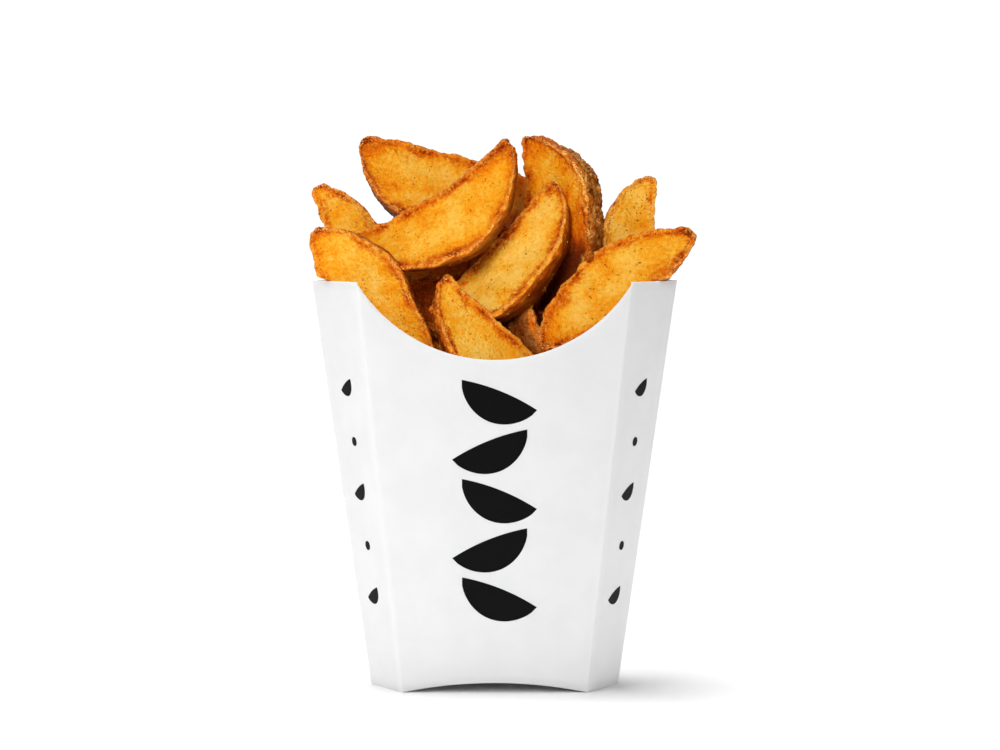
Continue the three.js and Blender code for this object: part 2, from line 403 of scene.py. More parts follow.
def skin_colour(tree, at):
    """Smooth brown skin, or flaky skin with pale flakes and dark cracks, darkened by painted shade away
    from the rims.
    """
    tone = total(tree, at.patch, (at.streak, 0.35), (at.granule, 0.5))
    smooth_skin = ramp(tree, tone, SMOOTH_SKIN)
    flaky_skin = ramp(tree, at.patch, ROUGH_SKIN)
    pale = total(tree, at.fine, (at.patch, 0.8))
    flaky_skin = mixed(tree, ranged(tree, pale, 0.92, 1.02), flaky_skin, PALE_FLAKE)
    crack = cells(tree, at.where, 1.6)
    flaky_skin = mixed(tree, ranged(tree, crack, 0.66, 0.90), flaky_skin, DARK_FLAKE)
    return mixed(tree, at.deep, mixed(tree, at.flake, smooth_skin, flaky_skin), SHADED_SKIN)


def scorched(tree, at, base):
    """The base colour, browned along the edges, with painted highlights and dark flecks along the rims,
    and painted glints in the scorched edges.
    """
    ragged = total(tree, 1.0, (at.grain, 3.2), (at.granule, 3.0))
    burnt = maths(tree, "MULTIPLY", at.edge, ragged)
    for start, full, cover, tint in SCORCHING:
        base = mixed(tree, ranged(tree, burnt, start, full, 0.0, cover), base, tint)
    flecks = total(tree, at.fine, (at.grain, -0.8))
    # painted highlights along the rims
    rim_highlight = maths(tree, "MULTIPLY", at.rim, ranged(tree, flecks, 0.44, 0.60))
    base = mixed(tree, rim_highlight, base, RIM_HIGHLIGHT)
    nick = maths(tree, "MULTIPLY", at.rim, ranged(tree, flecks, 0.30, 0.42, 0.75, 0.0))
    base = mixed(tree, nick, base, NICK)
    in_scorch = ranged(tree, at.edge, 0.15, 0.6)
    glint = maths(tree, "MULTIPLY", in_scorch, ranged(tree, flecks, 0.60, 0.72))
    return mixed(tree, maths(tree, "MULTIPLY", glint, 0.8), base, GLINT)


def crust_height(tree, at):
    """Fine relief: grain on the faces, crustier at the edges, and the skin's own."""
    grain = total(tree, at.grain, at.granule)
    crusty = maths(tree, "MULTIPLY", grain, total(tree, 1.4, (at.edge, 2.4)))
    on_face = total(tree, crusty, (at.fine, 0.3))
    on_skin = total(tree, (at.patch, 1.6), at.streak, (at.fine, 0.6))
    return add(tree, "ShaderNodeMix", {0: at.skin, 2: on_face, 3: on_skin}).outputs[0]


def potato_material():
    """Fried potato: creamy to golden cut faces, browned edges, rough brown skin."""
    material, tree, shader = new_material("fried_potato")
    at = potato_inputs(tree)
    base = mixed(tree, at.skin, face_colour(tree, at), skin_colour(tree, at))
    plug(tree, shader, {
        "Base Color": scorched(tree, at, base),
        "Roughness": total(tree, 0.28, (at.fine, 0.35)),
        "Normal": bump(tree, crust_height(tree, at), 0.5, 0.9),
        "Specular IOR Level": 0.18,
        "Specular Tint": colour(255, 214, 140),
        "Subsurface Weight": 0.12,
        "Subsurface Radius": (1.0, 0.45, 0.12),
        "Subsurface Scale": 1.2 * MM,
    })
    return material


def crumb_material():
    """Crisp bits of crust: pale gold to dark brown from bit to bit."""
    material, tree, shader = new_material("crust_crumbs")
    fine = noise(tree, object_place(tree), 0.4)
    share = total(tree, attribute(tree, "tone"), (swing(tree, fine), 0.5))
    base = mixed(tree, ranged(tree, share, 0.1, 0.6), colour(244, 172, 70), colour(206, 104, 14))
    base = mixed(tree, ranged(tree, share, 0.60, 1.0), base, colour(130, 50, 6))
    plug(tree, shader, {"Base Color": base, "Normal": bump(tree, fine, 0.1), "Roughness": 0.35})
    return material


def board_fibre(tree):
    return noise(tree, object_place(tree), 0.5, 4.0, 0.7, 0.6)


def board_material():
    """White coated paperboard: faint fibres, paler along the creases (partly whitened fibres, partly
    painted highlight), matt cut edges.
    """
    material, tree, shader = new_material("white_paperboard")
    inside = attribute(tree, "inside")
    fibre = board_fibre(tree)
    cloud = noise(tree, object_place(tree), 14.0, 4.0, 0.55)
    base = mixed(tree, ranged(tree, cloud, 0.3, 0.7), colour(241, 241, 242), colour(245, 245, 245))
    base = mixed(tree, inside, base, colour(236, 232, 224))
    # painted highlight along the folds, partly the whitened fibres of the fold
    base = mixed(tree, attribute(tree, "crease"), base, colour(245, 245, 245))
    base = mixed(tree, attribute(tree, "cut"), base, colour(250, 248, 244))
    plug(tree, shader, {
        "Base Color": base,
        "Roughness": total(tree, (fibre, 0.2), (inside, 0.2), 0.4),
        "Normal": bump(tree, fibre, 0.02, 0.5),
        "Specular IOR Level": 0.3,
    })
    return material


def ink_material():
    """Black print, with the board's fibres just showing in it."""
    material, tree, shader = new_material("black_print")
    fibre = board_fibre(tree)
    plug(tree, shader, {
        "Base Color": mixed(tree, ranged(tree, fibre, 0.55, 0.8), colour(6, 6, 7), colour(16, 16, 17)),
        "Normal": bump(tree, fibre, 0.02, 0.5),
        "Roughness": 0.5,
        "Specular IOR Level": 0.1,
    })
    return material


def floor_material():
    material, tree, shader = new_material("white_floor")
    cloud = noise(tree, object_place(tree), 80.0)
    plug(tree, shader, {
        "Base Color": mixed(tree, cloud, colour(246, 246, 246), colour(248, 248, 248)),
        "Roughness": 0.9,
        "Specular IOR Level": 0.1,
    })
    return material


# ---------------- carton
FRONT_COLUMNS = 72  # flats across the front panel, and across the back
SIDE_COLUMNS = 8  # flats across one of the four narrow panels
CREASE_RADIUS = 0.9  # outer radius of a fold
CREASE_COLUMNS = 5
WALL_ROWS = 44  # flats from the foot to the rim
CUT_ROUND = 0.12  # rounding of the cut edge of the board
CREASE_SHINE = 0.5  # how far the paler line along a fold spreads: painted highlight, partly whitened fibres
SETTLE_STEPS = 30  # rounds that find where a column meets a curved edge
BOTTOM_GRID = (81, 17)  # points across and deep, of the bottom panel
BOTTOM_GAP = 0.05  # the bottom panel over the arched foot of the walls
BOTTOM_POINT = 0.02  # depth of its two ends, as a share of its full depth
BACK_PANEL, FRONT_PANEL = 2, 5  # sides of the outline, counted from the first corner
RIM_CORNERS = np.array([
    [FRONT_HALF_WIDTH, -HALF_DEPTH], [HALF_WIDTH, 0], [FRONT_HALF_WIDTH, HALF_DEPTH],
    [-FRONT_HALF_WIDTH, HALF_DEPTH], [-HALF_WIDTH, 0], [-FRONT_HALF_WIDTH, -HALF_DEPTH],
])
SIDE_FLATS = [SIDE_COLUMNS, SIDE_COLUMNS, FRONT_COLUMNS] * 2
SCOOP_RADIUS = arc_radius(FRONT_HALF_WIDTH, SCOOP_DEPTH)
BACK_RADIUS = arc_radius(FRONT_HALF_WIDTH, BACK_RISE)
FOOT_RADIUS = arc_radius(FRONT_HALF_WIDTH * FOOT_SCALE, FOOT_ARCH)


def taper(height):
    """Outline at a height as a share of the rim outline."""
    return FOOT_SCALE + (1 - FOOT_SCALE) * height / CARTON_HEIGHT


def unit(vector):
    return vector / np.linalg.norm(vector)


def wall_columns(inset):
    """For each upright line of the wall: the part of its place that grows with the taper,
    the part that doesn't, the panel that it is on, and its distance to the nearest fold."""
    growing, fixed, panel, fold = [], [], [], []
    radius = CREASE_RADIUS - inset
    for side in range(6):
        before, start, end = (RIM_CORNERS[(side + step) % 6] for step in (-1, 0, 1))
        after = RIM_CORNERS[(side + 2) % 6]
        arriving, along, leaving = unit(start - before), unit(end - start), unit(after - end)
        turning = math.acos(np.clip(arriving @ along, -1, 1))
        inward = np.array([-along[1], along[0]])
        middle = unit(along - arriving) * (CREASE_RADIUS / math.cos(turning / 2))
        first_angle = math.atan2(-arriving[0], arriving[1])
        for step in range(CREASE_COLUMNS):
            angle = first_angle + turning * (step + 0.5) / CREASE_COLUMNS
            growing.append(start)
            fixed.append(middle + radius * np.array([math.cos(angle), math.sin(angle)]))
            panel.append(side)
            fold.append(0.0)
        start_gap = CREASE_RADIUS * math.tan(turning / 2)
        next_turn = math.acos(np.clip(along @ leaving, -1, 1))
        end_gap = CREASE_RADIUS * math.tan(next_turn / 2)
        for step in range(SIDE_FLATS[side] + 1):
            share = step / SIDE_FLATS[side]
            growing.append((1 - share) * start + share * end)
            fixed.append(along * ((1 - share) * start_gap - share * end_gap) + inward * inset)
            panel.append(side)
            fold.append(min(share, 1 - share) * np.linalg.norm(end - start))
    return np.array(growing), np.array(fixed), np.array(panel), np.array(fold)


def wall_point(growing, fixed, height):
    """Places on the wall (n x 3) at the given height of each column."""
    level = taper(height)[:, None] * growing + fixed
    return np.column_stack([level, height])


def settle(edge_height, growing, fixed, start):
    """The height where each column meets an edge that is given over x."""
    height = np.full(len(growing), float(start))
    for _ in range(SETTLE_STEPS):
        height = edge_height(wall_point(growing, fixed, height)[:, 0])
    return height


def circle_height(x, radius, middle, side):
    return middle + side * np.sqrt(np.maximum(radius**2 - x**2, 0))


def scoop_height(x):
    return circle_height(x, SCOOP_RADIUS, CARTON_HEIGHT - SCOOP_DEPTH + SCOOP_RADIUS, -1)


def back_height(x):
    return circle_height(x, BACK_RADIUS, CARTON_HEIGHT + BACK_RISE - BACK_RADIUS, 1)


def foot_height(x):
    return circle_height(x, FOOT_RADIUS, FOOT_ARCH - FOOT_RADIUS, 1)


def make_carton(material):
    """The folded walls, with the scoop in front, the round top at the back and the foot."""
    growing, fixed, panel, fold = wall_columns(0)
    fixed_inside = wall_columns(BOARD)[1]
    front, back = panel == FRONT_PANEL, panel == BACK_PANEL
    top = np.full(len(growing), CARTON_HEIGHT)
    top = np.where(front, np.minimum(settle(scoop_height, growing, fixed, CARTON_HEIGHT), top), top)
    top = np.where(back, np.maximum(settle(back_height, growing, fixed, CARTON_HEIGHT), top), top)
    low = np.where(front | back, np.maximum(settle(foot_height, growing, fixed, 0), 0), 0)

    rows, row_cut, row_inside = [], [], []

    def row(share, height, cut, inside):
        """A closed row at a share of the way through the board."""
        through = (1 - share) * fixed + share * fixed_inside
        rows.append(wall_point(growing, through, height))
        row_cut.append(cut)
        row_inside.append(inside)

    def between(share):
        """Heights at a share of the way from the lower cut edge to the upper one."""
        return low + CUT_ROUND + (top - low - 2 * CUT_ROUND) * share

    soft = CUT_ROUND / BOARD
    for step in range(WALL_ROWS + 1):
        row(0, between(step / WALL_ROWS), 0, 0)
    row(soft, top, 1, 0)
    row(1 - soft, top, 1, 0)
    for step in range(WALL_ROWS + 1):
        row(1, between(1 - step / WALL_ROWS), 0, 1)
    row(1 - soft, low, 1, 0)
    row(soft, low, 1, 0)

    points = np.concatenate(rows)
    faces = grid_faces(len(rows), len(growing), True, True)
    crease = np.tile(bell(fold, CREASE_SHINE), len(rows)) * (1 - np.repeat(row_inside, len(growing)))
    piece = make_object("carton_walls", points, faces, material, True, {
        "crease": crease,
        "cut": np.repeat(row_cut, len(growing)),
        "inside": np.repeat(row_inside, len(growing)),
    })
    settle_piece(piece, shell, "carton")


def make_carton_bottom(material):
    """The arched bottom panel, just inside the walls."""
    across, deep = BOTTOM_GRID
    half_width = HALF_WIDTH * FOOT_SCALE - BOARD
    half_depth = HALF_DEPTH * FOOT_SCALE - BOARD / 2
    x = half_width * np.linspace(-1, 1, across)
    end_taper = (HALF_WIDTH * FOOT_SCALE - np.abs(x)) / ((HALF_WIDTH - FRONT_HALF_WIDTH) * FOOT_SCALE)
    depth = half_depth * np.clip(end_taper, BOTTOM_POINT, 1)
    height = np.maximum(foot_height(x), 0) + BOTTOM_GAP
    y = depth[:, None] * np.linspace(-1, 1, deep)[None, :]
    grid = np.stack(np.broadcast_arrays(x[:, None], y, height[:, None]), -1)
    points, faces = closed_sheet(grid + [0, 0, BOARD], grid)
    fields = dict.fromkeys(("crease", "cut", "inside"), np.zeros(len(points)))
    piece = make_object("carton_bottom", points, faces, material, False, fields)
    settle_piece(piece, shell, "carton")


# ---------------- print
INK = 0.05  # how far the print stands proud of the board
MOTIF_STEPS = 28  # points along a motif
MOTIF_ROWS = 6  # points across it
MOTIFS = 5  # on each printed panel
FRONT_PRINT = (29.0, 93.0)  # heights of the lowest and the highest front motif
SIDE_PRINT = (30.0, 98.0)
FRONT_MOON = dict(width=26.0, depth=10.5, tilt=22)
SIDE_MOON = dict(width=8.0, depth=4.4, tilt=30)
DOT_RADIUS = 1.5
MOON_TOP, MOON_BOTTOM = 0.12, 0.88  # how far its two edges bulge, as shares of its depth
MOON_POWER = 0.7  # how full the round edge is
MOON_RAISE = 0.4  # brings its middle to its height, as a share of its depth
MOON_TIP = 0.02  # thickness of its two tips
DOT_TIP = 1e-4  # the same for a dot, as a squared share of its radius


def front_place(u, v, proud):
    """A place on the front panel: u across from the middle, v up, proud out of the board."""
    return np.stack([u, -taper(v) * HALF_DEPTH - proud, v], -1)


def side_place(side):
    """The same for the narrow front panel on one side, -1 left or 1 right."""
    middle = (RIM_CORNERS[0] + RIM_CORNERS[1]) / 2
    across = unit(RIM_CORNERS[1] - RIM_CORNERS[0])
    outward = np.array([across[1], -across[0]])

    def place(u, v, proud):
        level = taper(v)[..., None] * middle + (u * side)[..., None] * across + proud * outward
        return np.stack([level[..., 0] * side, level[..., 1], v], -1)
    return place


def half_moon(width, depth, tilt, mirror, centre_height):
    """A grid (u, v) over a solid half moon: a nearly straight edge above a round one."""
    along = np.linspace(-1, 1, MOTIF_STEPS)
    upper = MOON_TOP * depth * (1 - along**2)
    lower = -MOON_BOTTOM * depth * (1 - along**2) ** MOON_POWER - MOON_TIP
    share = np.linspace(0, 1, MOTIF_ROWS)
    u = mirror * np.broadcast_to((along * width / 2)[:, None], (MOTIF_STEPS, MOTIF_ROWS))
    v = lower[:, None] + (upper - lower)[:, None] * share[None, :] + depth * MOON_RAISE
    angle = math.radians(tilt) * mirror
    turned_u = u * math.cos(angle) - v * math.sin(angle)
    turned_v = u * math.sin(angle) + v * math.cos(angle)
    return turned_u, turned_v + centre_height


def disc(radius, centre_height):
    """A grid (u, v) over a round dot."""
    along = np.linspace(-1, 1, MOTIF_STEPS)
    half = np.sqrt(np.maximum(1 - along**2, DOT_TIP))
    share = np.linspace(-1, 1, MOTIF_ROWS)
    u = np.broadcast_to((along * radius)[:, None], (MOTIF_STEPS, MOTIF_ROWS))
    return u, radius * half[:, None] * share[None, :] + centre_height


def print_piece(name, motifs, place, material):
    """One piece of all the motifs on a panel, each a thin closed sheet of ink."""
    points, faces = [], []
    for u, v in motifs:
        outer = place(u, v, INK)
        inner = place(u, v, -INK)
        motif_points, motif_faces = closed_sheet(outer, inner)
        first = sum(len(block) for block in points)
        faces += [[index + first for index in face] for face in motif_faces]
        points.append(motif_points)
    piece = make_object(name, np.concatenate(points), faces, material, False)
    settle_piece(piece, shell)


def make_print(material):
    motifs = []
    for order, height in enumerate(np.linspace(*FRONT_PRINT, MOTIFS)):
        mirror = 1 if order % 2 else -1
        motifs.append(half_moon(**FRONT_MOON, mirror=mirror, centre_height=height))
    print_piece("print_front", motifs, front_place, material)
    for side, label in ((-1, "left"), (1, "right")):
        motifs = []
        for order, height in enumerate(np.linspace(*SIDE_PRINT, MOTIFS)):
            if order % 2:
                motifs.append(disc(DOT_RADIUS, height))
            else:
                motifs.append(half_moon(**SIDE_MOON, mirror=1, centre_height=height))
        print_piece(f"print_{label}", motifs, side_place(side), material)


# ---------------- wedges
# Relief of a wedge, in millimetres: how deep it is, and how far apart its bumps are.
SWAY, SWAY_WAVE = 1.1, 16.0  # the wedge as a whole, bent out of its even shape
DISH = 0.75  # hollow of a cut face
RAGGED_WAVE = 2.6  # bumps of the rims
RIDGE_WAVE = 5.0  # bumps of the ridge
CRINKLE, CRINKLE_WAVE = 0.60, 3.2  # crinkles near every edge
FACE_RELIEF, FACE_WAVE = 0.22, 4.5
BLISTER, BLISTER_WAVE = 0.5, 3.2
SKIN_RELIEF, SKIN_WAVE = 0.25, 3.0
FLAKE_RELIEF = 1.05  # what a flaky skin has on top of that
CRAG, CRAG_WAVE = 1.1, 3.4  # crags of a flaky skin, just behind its rim
STREAK, STREAK_WAVE = 0.18, 1.8  # lines along the skin
STREAK_STRETCH = 4  # how much longer than wide they are

# Distances, in millimetres, over which browning changes along a wedge.
SCORCH_WAVE = 7.0
REACH, MORE_REACH, REACH_WAVE = 1.1, 2.6, 11.0  # how far in from an edge it is scorched
TIP_REACH = 4.5
SKIN_REACH = 2.0
TOAST_WAVE = 10.0

SEEDS_PER_WEDGE = 1000  # each noise of a wedge has a seed of its own, counted from here
BLUR_LIMIT = 0.03  # most that edges are rounded, as a share of the way round
LIMIT_EASE = 2.5  # how fast the room for the food widens above the rim
# Straight out of a narrow panel, as shares of X and Y.
SIDE_OUTWARD = unit(np.array([HALF_DEPTH, HALF_WIDTH - FRONT_HALF_WIDTH]))


def wedge_shape(wedge, order, stations, around):
    """Rings of a smooth wedge along X, and for each point its ring's radius and its
    distance from the ridge, from the nearest rim (positive on the skin) and from the tips."""
    along = -np.cos(np.linspace(0, math.pi, stations + 2))[1:-1]
    sector = math.radians(wedge["sector"])
    from_tip = (1 - np.abs(along)) * wedge["length"] / 2
    into_tip = np.clip(1 - from_tip / TIP_ROUND, 0, 1)
    ridge = wedge["bow"] * (1 - along**2) ** BOW_POWER - TIP_ROUND * (1 - np.sqrt(1 - into_tip**2))
    wave = 1 + WAVE * np.sin(WAVE_TURN * along + WAVE_SHIFT * order)
    skin = wedge["width"] * wave * np.sqrt(1 - np.abs(along) ** TIP_POWER) + TIP_ROUND * into_tip**2
    radius = (ridge + skin)[:, None]
    turn = np.arange(around)[None, :] / around
    first_rim = 1 / (2 + sector)
    second_rim = (1 + sector) / (2 + sector)
    out = np.where(turn < first_rim, turn / first_rim, 1.0)
    out = np.where(turn > second_rim, (1 - turn) / (1 - second_rim), out)
    angle = sector * np.clip((turn - first_rim) / (second_rim - first_rim), 0, 1)
    y = radius * out * np.sin(angle)
    z = ridge[:, None] - radius * out * np.cos(angle)

    spread = np.clip(EDGE_ROUND / (radius * (2 + sector)), 0, BLUR_LIMIT)
    frequency = np.fft.rfftfreq(around, 1 / around)[None, :]
    damping = np.exp(-2 * (math.pi * frequency * spread) ** 2)
    y = np.fft.irfft(np.fft.rfft(y, axis=1) * damping, around, axis=1)
    z = np.fft.irfft(np.fft.rfft(z, axis=1) * damping, around, axis=1)
    x = np.broadcast_to((along * wedge["length"] / 2)[:, None], y.shape)

    on_skin = (turn >= first_rim) & (turn <= second_rim)
    from_rim = np.where(on_skin, radius * np.minimum(angle, sector - angle), -radius * (1 - out))
    spot = SimpleNamespace(
        radius=(radius + 0 * y).ravel(),
        from_ridge=(radius * out).ravel(),
        from_rim=from_rim.ravel(),
        from_tip=np.broadcast_to(from_tip[:, None], y.shape).ravel())
    return np.stack([x, y, z], -1), spot


def bent(rings, spot, seed):
    """The rings swayed out of their even shape, less towards the tips."""
    flat = rings.reshape(-1, 3)
    sway = np.column_stack([layered_noise(flat, SWAY_WAVE, seed + axis, 2) for axis in (1, 2, 3)])
    calm_tip = smooth(0, 5, spot.radius)[:, None]
    return (flat + SWAY * sway * calm_tip).reshape(rings.shape)


def wedge_lift(flaky, flat, spot, skin, ragged, streak, seed):
    """How far each point stands out of the smooth wedge."""
    face_share = np.clip(spot.from_ridge / np.maximum(spot.radius, 0.5), 0, 1)
    near_edge = np.minimum(np.minimum(spot.from_ridge, np.abs(spot.from_rim)), spot.from_tip)
    dish = -DISH * (1 - skin) * np.sin(math.pi * face_share) ** 0.7 * smooth(2, 12, spot.radius)
    rim_bead = (0.45 + 0.5 * ragged) * bell(spot.from_rim, 1.3)
    ridge_bumps = layered_noise(flat, RIDGE_WAVE, seed + 12, 4)
    ridge_bead = (0.50 + 0.8 * ridge_bumps) * bell(spot.from_ridge, 1.8)
    crinkle = CRINKLE * layered_noise(flat, CRINKLE_WAVE, seed + 13, 4, 0.62) * bell(near_edge, 2.4)
    face_relief = FACE_RELIEF * layered_noise(flat, FACE_WAVE, seed + 14, 4, 0.55)
    blister = BLISTER * np.maximum(gradient_noise(flat, BLISTER_WAVE, seed + 15) - 0.22, 0)
    peel = layered_noise(flat, SKIN_WAVE, seed + 16, 4, 0.6)
    peel = (SKIN_RELIEF + FLAKE_RELIEF * flaky) * peel
    bumps = np.maximum(layered_noise(flat, CRAG_WAVE, seed + 21, 3), 0)
    crag = CRAG * flaky * bumps * bell(spot.from_rim + 1.0, 3.2)
    crag *= smooth(4, 14, spot.from_tip)
    lift = dish + rim_bead + ridge_bead + crinkle + crag
    lift += (1 - skin) * (face_relief + blister) + skin * (peel + STREAK * streak)
    return lift * smooth(-1.0, 4.0, spot.radius)


def scorch_amount(flat, spot, seed):
    """How scorched each point is: along the rims, along the ridge and at the tips."""
    scorch = layered_noise(flat, SCORCH_WAVE, seed + 18, 3)
    more = np.clip(layered_noise(flat, REACH_WAVE, seed + 20, 2) + 0.1, 0, 1)
    reach = REACH + MORE_REACH * more
    inside_rim = np.where(spot.from_rim < 0, np.exp(-np.abs(spot.from_rim + 1.5) / reach), 0)
    onto_skin = smooth(0.4, 1.4, spot.from_rim) * np.exp(-spot.from_rim / SKIN_REACH)
    outside_rim = np.where(spot.from_rim > 0, onto_skin, 0)
    rim_burn = (0.72 + 1.2 * scorch) * (inside_rim + 1.2 * outside_rim)
    ridge_burn = (0.72 + 1.2 * scorch) * np.exp(-np.abs(spot.from_ridge - 1.8) / reach)
    tip_burn = (0.34 + 0.8 * scorch) * np.exp(-spot.from_tip / TIP_REACH)
    return np.clip(rim_burn, 0, 1.2) + np.clip(ridge_burn, 0, 1.2) + np.clip(tip_burn, 0, 1)


def toast_amount(wedge, flat, height, spot, seed):
    """How brown the cut faces are, more near the edges and the tips, with painted shade as extra browning
    towards the lower end.
    """
    toast = 0.05 + wedge["toast"] + 0.42 * layered_noise(flat, TOAST_WAVE, seed + 19, 3)
    edge_near = np.minimum(spot.from_ridge, np.abs(spot.from_rim))
    toast += wedge["crust"] * (0.30 * np.exp(-spot.from_tip / 8.0) + 0.42 * np.exp(-edge_near / 3.6))
    # painted shade: browner towards the wedge's lower end, as much as its foot says
    drop = np.clip((height.max() - height) / (height.max() - height.min()), 0, 1)
    return toast + wedge["foot"] * drop**3


def rim_amount(flaky, flat, spot, seed):
    """Where the painted highlights and the dark flecks lie: in patches along the rims, and all along the
    ridge.
    """
    rim = bell(spot.from_rim + 0.1 + 0.9 * flaky, 0.75 + 1.6 * flaky)
    rim *= smooth(0.3 * flaky - 0.45, 0.2 * flaky + 0.05, layered_noise(flat, 2.5, seed + 21, 2))
    return np.maximum(rim, 0.9 * bell(spot.from_ridge, 1.0))


def place_wedge(points, wedge):
    """A wedge's points rolled, leaned and turned, then moved to where it lies."""
    roll, lean, turn = (math.radians(wedge[key]) for key in ("roll", "lean", "turn"))
    x, y, z = points.T
    y, z = y * math.cos(roll) + z * math.sin(roll), z * math.cos(roll) - y * math.sin(roll)
    x, y = x * math.cos(lean) - y * math.sin(lean), x * math.sin(lean) + y * math.cos(lean)
    x, z = x * math.cos(turn) - z * math.sin(turn), x * math.sin(turn) + z * math.cos(turn)
    return np.column_stack([x, y, z]) + np.array(wedge["at"], float)


def keep_inside(points):
    """Points below the rim moved in, to the gap that the food keeps to the board."""
    x, y, z = points.T.copy()
    scale = taper(np.clip(z, 0, CARTON_HEIGHT + BACK_RISE))
    gap = BOARD + CLEARANCE
    ease = LIMIT_EASE * np.maximum(z - CARTON_HEIGHT, 0)
    reach = scale * HALF_WIDTH * SIDE_OUTWARD[0] - gap + ease
    excess = np.maximum(np.abs(x) * SIDE_OUTWARD[0] + np.abs(y) * SIDE_OUTWARD[1] - reach, 0)
    y -= np.sign(y) * np.minimum(excess * SIDE_OUTWARD[1], np.abs(y))
    widest = (reach - np.abs(y) * SIDE_OUTWARD[1]) / SIDE_OUTWARD[0]
    x = np.clip(x, -widest, widest)
    depth = scale * HALF_DEPTH - gap
    back_ease = LIMIT_EASE * np.maximum(z - np.maximum(back_height(x), CARTON_HEIGHT), 0)
    y = np.clip(y, -(depth + ease), depth + back_ease)
    return np.column_stack([x, y, z])


def tipped_faces(stations, around):
    """Faces of a tube of rings, closed by two tips that come last among its points."""
    faces = grid_faces(stations, around, False, True).tolist()
    first_tip = stations * around
    last_ring = first_tip - around
    for step in range(around):
        following = (step + 1) % around
        faces.append((first_tip, following, step))
    for step in range(around):
        following = (step + 1) % around
        faces.append((first_tip + 1, step + last_ring, following + last_ring))
    return faces


def make_wedge(wedge, order, material):
    stations, around = FINE_GRID if wedge["shows"] else COARSE_GRID
    seed = SEEDS_PER_WEDGE * (order + 1)
    flaky = wedge["flaky"]
    rings, spot = wedge_shape(wedge, order, stations, around)
    rings = bent(rings, spot, seed)
    normals = grid_normals(rings).reshape(-1, 3)
    flat = rings.reshape(-1, 3)

    ragged = layered_noise(flat, RAGGED_WAVE, seed + 11, 3)
    streak = layered_noise(flat * [1 / STREAK_STRETCH, 1, 1], STREAK_WAVE, seed + 22, 3)
    skin = smooth(-0.5, 0.7, spot.from_rim + flaky + (0.9 + 1.6 * flaky) * ragged)
    lift = wedge_lift(flaky, flat, spot, skin, ragged, streak, seed)
    flat = flat + normals * lift[:, None]
    tips = np.array([[-wedge["length"] / 2, 0, -TIP_ROUND], [wedge["length"] / 2, 0, -TIP_ROUND]])
    points = keep_inside(place_wedge(np.concatenate([flat, tips]), wedge))

    edge = scorch_amount(flat, spot, seed) * wedge["crust"]
    toast = toast_amount(wedge, flat, points[:-2, 2], spot, seed)
    # deep: painted shade, darker the farther the skin lies from its rims, and also darker where it is
    # toasted
    deep = (0.9 - 0.6 * flaky) * smooth(0.5, 6.0, spot.from_rim) + 0.5 * smooth(0.4, 1.1, toast)
    fields = {"skin": skin, "edge": np.clip(edge, 0, 1.4), "toast": toast, "flake": flaky * skin,
              "rim": 0.9 * rim_amount(flaky, flat, spot, seed), "streak": streak, "deep": deep}
    fields = {key: np.append(values, values[[0, -1]]) for key, values in fields.items()}
    faces = tipped_faces(stations, around)
    piece = make_object(f"wedge_{wedge['name']}", points, faces, material, True, fields)
    settle_piece(piece, food, "wedges")
    return points, fields


# ---------------- core
CORE_AROUND = 96
CORE_RINGS = 24  # up its wall
CORE_TOP_RINGS = 26  # across its top
CORE_SHOULDER = 3.0  # the wall ends this far below the top
CORE_LUMPS, CORE_LUMP_WAVE = 5.0, 13.0
CORE_SEED = 7
# Its fields make it dark toasted skin: painted shade for the depths of the heap seen between the wedges.
CORE_FIELDS = {"skin": 0.4, "edge": 0.5, "toast": 0.9, "flake": 0.5, "rim": 0, "streak": 0, "deep": 0.6}
NEARLY_NONE = 0.02  # the innermost ring, as a share of the outline


def core_ring(height, share):
    """A ring at a height, as a share of the way out to the gap round the core."""
    angle = 2 * math.pi * np.arange(CORE_AROUND) / CORE_AROUND
    ray = np.column_stack([np.cos(angle), np.sin(angle)])
    inset = BOARD + CORE_INSET
    to_front = (taper(height) * HALF_DEPTH - inset) / np.maximum(np.abs(ray[:, 1]), 1e-6)
    to_side = (taper(height) * HALF_WIDTH * SIDE_OUTWARD[0] - inset) / (np.abs(ray) @ SIDE_OUTWARD)
    out = share * np.minimum(to_front, to_side)
    return np.column_stack([ray * out[:, None], np.full(CORE_AROUND, float(height))])


def make_core(material):
    """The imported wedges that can't be told apart, deep in the carton."""
    foot = FOOT_ARCH + BOARD + CLEARANCE
    rows = [core_ring(foot, share) for share in (NEARLY_NONE, 0.5)]
    rows += [core_ring(height, 1) for height in np.linspace(foot, CORE_TOP - CORE_SHOULDER, CORE_RINGS)]
    rows += [core_ring(CORE_TOP, share) for share in np.linspace(0.97, NEARLY_NONE, CORE_TOP_RINGS)]
    points = np.concatenate(rows)
    lumps = layered_noise(points, CORE_LUMP_WAVE, CORE_SEED, 3)
    on_top = smooth(CORE_TOP - CORE_SHOULDER - 1, CORE_TOP, points[:, 2])
    points[:, 2] += CORE_LUMPS * (lumps - 0.5) * on_top
    faces = grid_faces(len(rows), CORE_AROUND, False, True)[:, ::-1].tolist()
    faces.append(list(range(CORE_AROUND)))
    faces.append(list(range(len(points) - 1, len(points) - 1 - CORE_AROUND, -1)))
    fields = {key: np.full(len(points), value) for key, value in CORE_FIELDS.items()}
    piece = make_object("wedges_core", points, faces, material, True, fields)
    settle_piece(piece, food, "wedges")


# ---------------- crumbs
CRUMBS_PER_WEDGE = 150
CRUMB_SIZE = (0.12, 0.36)  # half size of a crumb
CRUMB_STRETCH = (0.6, 1.2)  # its size along each axis, as a share of that
CRUMB_LUMPS = (0.75, 1.25)  # how far each of its corners stands out, likewise
CRUMBS_ON_SKIN = 0.25  # how likely skin holds a crumb, beside 1 for a browned edge
CRUMBS_ANYWHERE = 0.01
NEIGHBOURS = 1.1  # corners of an icosahedron are neighbours below this, as a share of its radius


